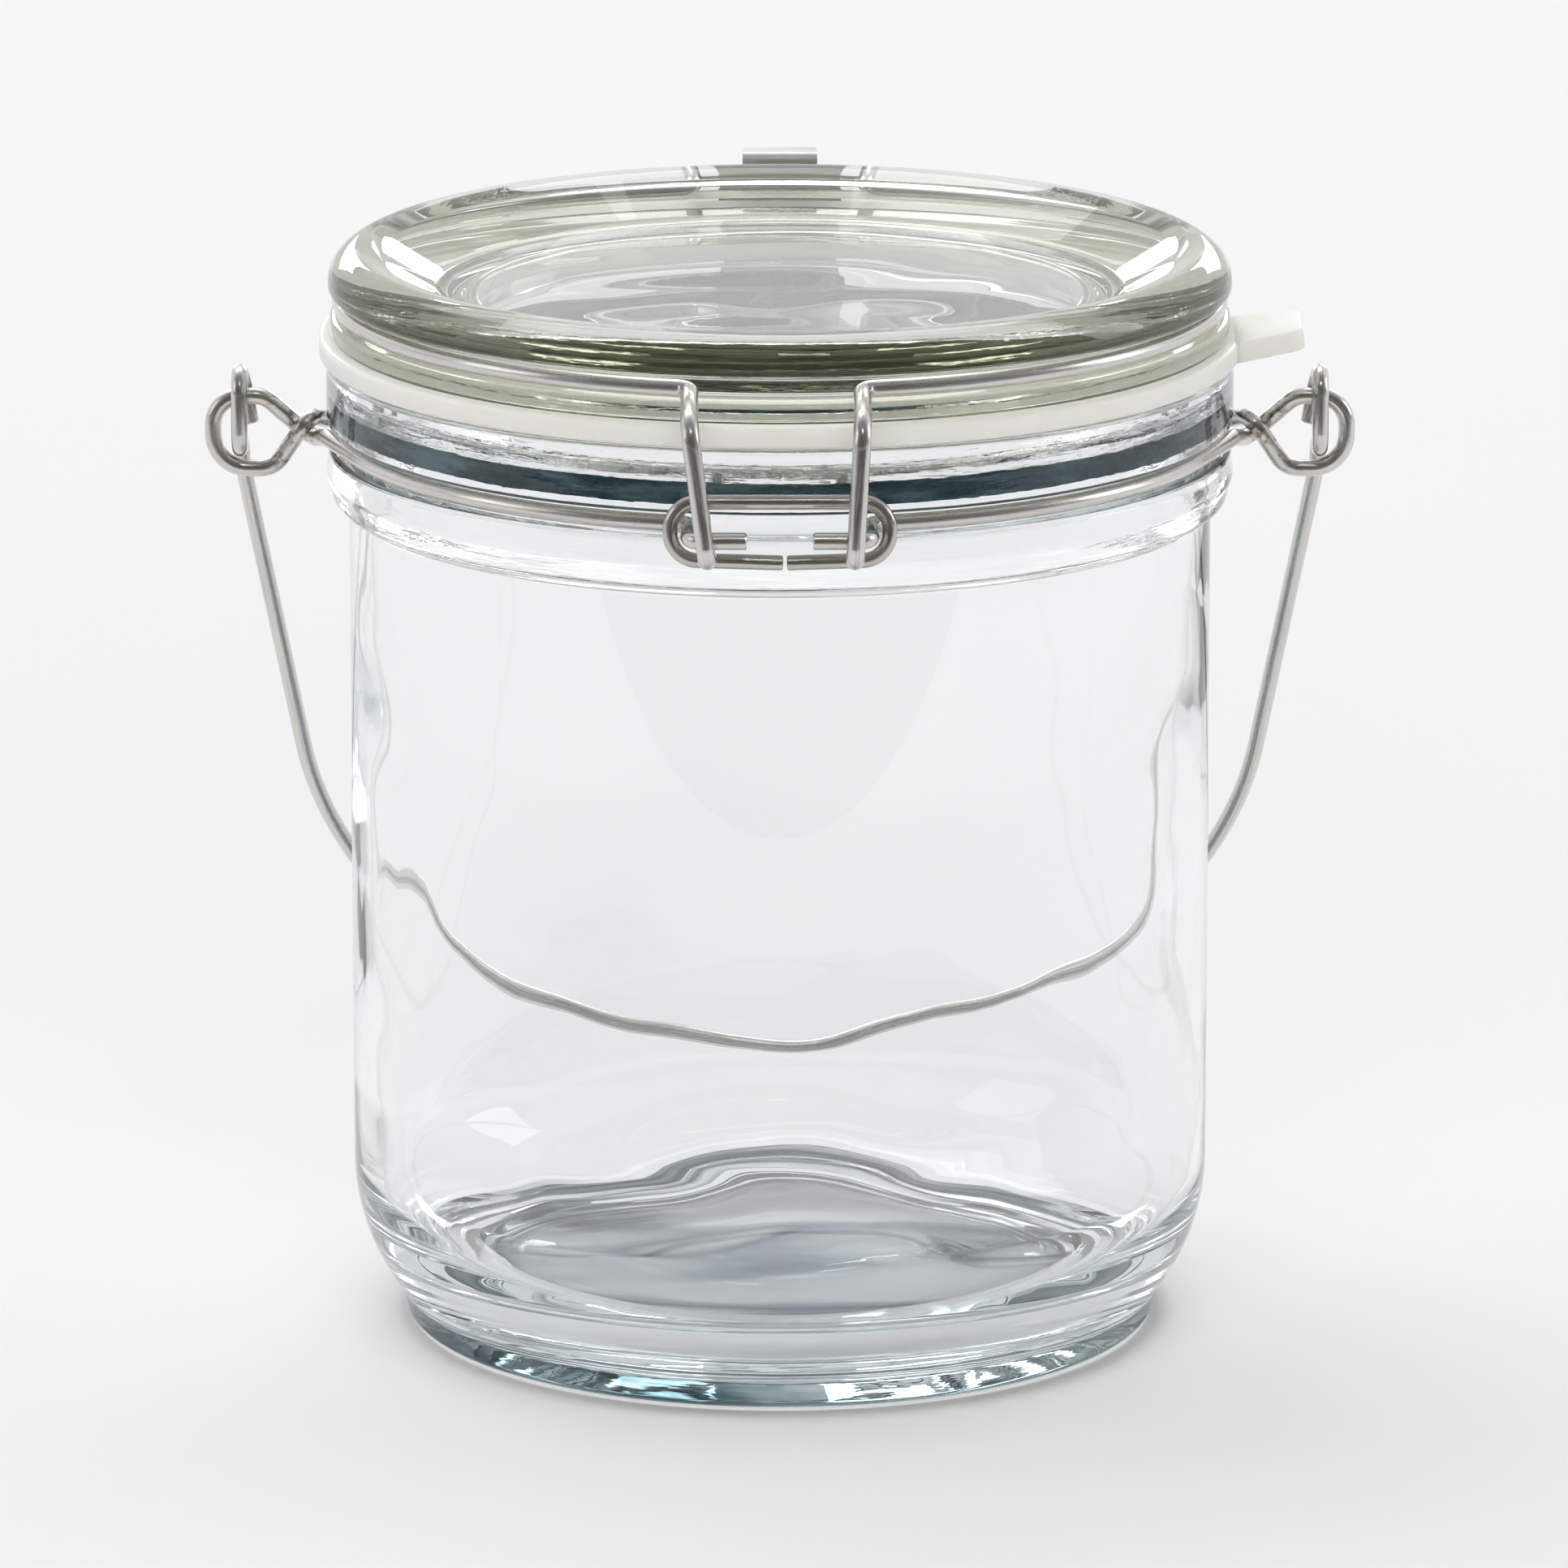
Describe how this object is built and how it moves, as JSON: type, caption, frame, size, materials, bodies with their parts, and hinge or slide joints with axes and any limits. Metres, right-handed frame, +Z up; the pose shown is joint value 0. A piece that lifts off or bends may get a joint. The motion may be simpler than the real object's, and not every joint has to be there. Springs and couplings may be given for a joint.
{
  "type": "lidded glass canister",
  "caption": "Round clear-glass canister with a hinged clip-down glass lid, silicone gasket, wire clasp and a swinging wire carrying handle.",
  "frame": {"origin": "on the jar's axis, in the plane of the foot it stands on", "axes": "+Z up along the jar's axis, +X across the jar through the handle's eyelets, +Y from the clasp to the hinge"},
  "size_m": [0.14, 0.1292, 0.1334],
  "materials": {
    "jar_glass": "clear, cool grey-green in thickness",
    "lid_glass": "clear pressed glass, olive green in thickness",
    "silicone": "translucent off-white satin",
    "steel_wire": "drawn stainless wire, semi-gloss",
    "steel_sheet": "pressed stainless sheet, satin"
  },
  "bodies": {
    "jar": {"jar_body": "jar_glass", "neck_wire": "steel_wire"},
    "lid_group": {"lid": "lid_glass", "gasket": "silicone", "lid_wire": "steel_wire", "hinge_plate": "steel_sheet"},
    "clasp": {"clasp_ring": "steel_wire"},
    "bail": {"handle": "steel_wire"}
  },
  "joints": [
    {"name": "lid_hinge", "type": "hinge", "parent": "jar", "child": "lid_group", "pos_m": [0, 0.0594, 0.11075], "axis": [-1, 0, 0], "range_deg": [0, 105]},
    {"name": "clasp_swing", "type": "hinge", "parent": "jar", "child": "clasp", "pos_m": [0, -0.0576, 0.1076], "axis": [1, 0, 0], "range_deg": [0, 24]},
    {"name": "handle_swing", "type": "hinge", "parent": "jar", "child": "bail", "pos_m": [0, 0, 0.1148], "axis": [1, 0, 0], "range_deg": [0, 298]}
  ]
}
